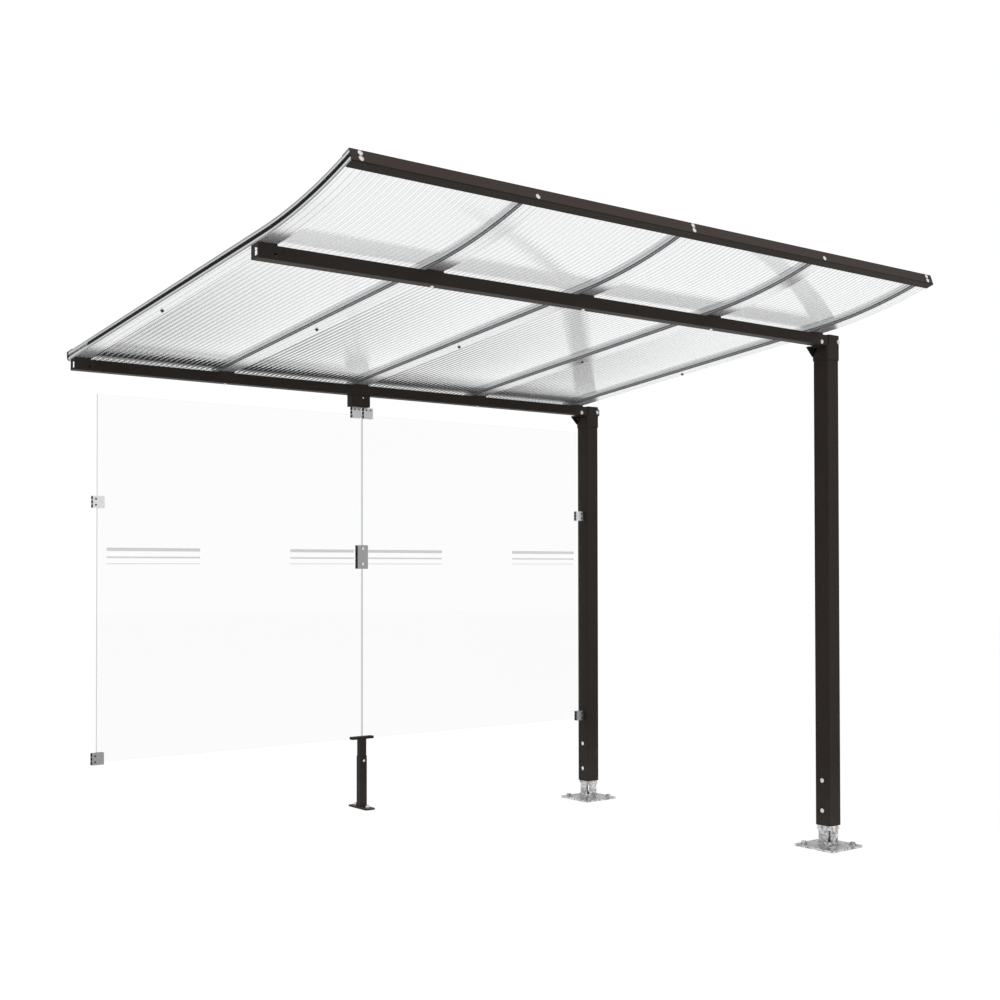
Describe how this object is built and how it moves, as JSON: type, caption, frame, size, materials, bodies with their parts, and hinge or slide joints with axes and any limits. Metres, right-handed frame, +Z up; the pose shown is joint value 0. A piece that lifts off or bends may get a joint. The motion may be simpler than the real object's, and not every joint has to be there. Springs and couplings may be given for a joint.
{
  "type": "bicycle shelter",
  "caption": "Open bicycle shelter bay: a steel frame with posts at one end carries an upswept ribbed sheet roof and a clear glass rear wall on a foot.",
  "frame": {"origin": "underside of the front post's base plate, on the post's axis", "axes": "+X along the beams towards the posts' end, +Y from the open front to the glass wall, +Z up"},
  "size_m": [2.56, 2.023, 2.1201],
  "materials": {
    "dark_paint": "dark brown satin powder coat",
    "galvanised": "hot-dip galvanised",
    "rib_aluminium": "mill finish extrusion",
    "roof_sheet": "clear multiwall sheet",
    "pane": "clear safety glass",
    "bolt_steel": "zinc-plated",
    "clamp_steel": "satin stainless steel"
  },
  "bodies": {
    "root": {"front_post": "dark_paint", "rear_post": "dark_paint", "front_post_foot": "galvanised", "rear_post_foot": "galvanised", "front_post_nuts": "galvanised", "rear_post_nuts": "galvanised", "front_post_bolts": "bolt_steel", "rear_post_bolts": "bolt_steel", "front_post_head": "dark_paint", "rear_post_head": "dark_paint", "front_head_bolts": "bolt_steel", "rear_head_bolts": "bolt_steel", "middle_beam": "dark_paint", "rear_beam": "dark_paint", "front_edge_channel": "dark_paint", "rear_edge_channel": "dark_paint", "roof_rib_1": "rib_aluminium", "roof_rib_2": "rib_aluminium", "roof_rib_3": "rib_aluminium", "roof_rib_4": "rib_aluminium", "roof_rib_5": "rib_aluminium", "roof_sheet_1": "roof_sheet", "roof_sheet_2": "roof_sheet", "roof_sheet_3": "roof_sheet", "roof_sheet_4": "roof_sheet", "middle_beam_spacers": "dark_paint", "rear_beam_spacers": "dark_paint", "middle_beam_bolts": "bolt_steel", "rear_beam_bolts": "bolt_steel", "front_channel_bolts": "bolt_steel", "rear_channel_bolts": "bolt_steel", "rib_screws": "bolt_steel", "glass_left": "pane", "glass_right": "pane", "glass_hanger": "dark_paint", "hanger_clamps": "clamp_steel", "joint_plate": "clamp_steel", "left_clamps": "clamp_steel", "post_clamps": "clamp_steel", "support_foot_base": "dark_paint", "support_foot_stem": "dark_paint", "support_foot_screws": "bolt_steel"}
  },
  "joints": []
}
